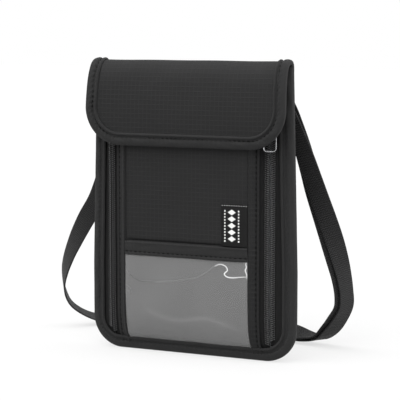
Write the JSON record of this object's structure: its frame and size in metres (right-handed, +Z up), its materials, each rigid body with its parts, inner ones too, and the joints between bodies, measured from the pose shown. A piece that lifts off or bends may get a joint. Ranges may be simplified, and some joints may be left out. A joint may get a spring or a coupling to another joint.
{
  "type": "neck pouch wallet",
  "caption": "Flat zipped travel pouch with a tucked-over flap, a clear ID window pocket, two side zippers and a webbing neck strap lying behind it.",
  "frame": {"origin": "middle of the width and depth of the pouch without its strap, at the surface it stands on", "axes": "+X across the pouch to the viewer's right when looking at its window, -Y out of its front face, +Z up towards the flap fold"},
  "size_m": [0.2227, 0.1367, 0.1991],
  "materials": {
    "ripstop": "matt dark charcoal ripstop nylon",
    "plain_fabric": "matt plain-weave nylon",
    "binding": "matt grosgrain binding tape",
    "lining": "soft grey woven shielding lining",
    "pocket_backing": "soft grey plain weave",
    "zip_tape": "matt woven zipper tape",
    "zip_coil": "satin nylon coil",
    "clear_pvc": "clear soft sheet with handling creases",
    "woven_label": "satin woven label with a plain light pattern",
    "hook_loop": "matt hook-and-loop tape",
    "webbing": "matt ribbed webbing",
    "polished_wire": "polished nickel-plated wire",
    "black_metal": "satin black enamel"
  },
  "bodies": {
    "pouch": {"back_panel": "ripstop", "rfid_back_lining": "lining", "inner_divider": "lining", "front_panel": "ripstop", "front_lining": "lining", "edge_binding": "binding", "mouth_binding": "binding", "id_pocket_backing": "pocket_backing", "id_window": "clear_pvc", "id_window_binding": "binding", "woven_label": "woven_label", "loop_strip": "hook_loop", "right_placket": "plain_fabric", "right_zip_tape_inner": "zip_tape", "right_zip_tape_outer": "zip_tape", "right_coil_inner": "zip_coil", "right_coil_outer": "zip_coil", "right_zip_top_stop": "black_metal", "left_placket": "plain_fabric", "left_zip_tape_inner": "zip_tape", "left_zip_tape_outer": "zip_tape", "left_coil_inner": "zip_coil", "left_coil_outer": "zip_coil", "left_zip_top_stop": "black_metal", "strap_tab": "webbing", "strap_main": "webbing", "strap_return": "webbing", "tri_glide": "black_metal"},
    "flap": {"flap_outer": "ripstop", "flap_lining": "lining", "hook_strip": "hook_loop", "flap_binding": "binding"},
    "right_slider": {"right_zip_slider": "black_metal"},
    "left_slider": {"left_zip_slider": "black_metal"},
    "right_pull": {"right_zip_pull": "polished_wire"},
    "left_pull": {"left_zip_pull": "polished_wire"},
    "ring": {"strap_ring": "black_metal"}
  },
  "joints": [
    {"name": "flap_hinge", "type": "hinge", "parent": "pouch", "child": "flap", "pos_m": [0, 0.00215, 0.1966], "axis": [-1, 0, 0], "range_deg": [0, 180]},
    {"name": "right_zip_slide", "type": "slide", "parent": "pouch", "child": "right_slider", "axis": [0, 0, -1], "range_m": [0, 0.118]},
    {"name": "left_zip_slide", "type": "slide", "parent": "pouch", "child": "left_slider", "axis": [0, 0, -1], "range_m": [0, 0.13]},
    {"name": "right_pull_swing", "type": "hinge", "parent": "right_slider", "child": "right_pull", "pos_m": [0.05999, -0.00607, 0.1516], "axis": [-0.9397, -0.342, 0], "range_deg": [0, 16]},
    {"name": "left_pull_swing", "type": "hinge", "parent": "left_slider", "child": "left_pull", "pos_m": [-0.05999, -0.00607, 0.1638], "axis": [-0.9397, 0.342, 0], "range_deg": [0, 12]},
    {"name": "strap_ring_swing", "type": "hinge", "parent": "pouch", "child": "ring", "pos_m": [0.056, 0.01075, 0.1815], "axis": [0.9136, 0, 0.4067], "range_deg": [-5, 5]}
  ]
}
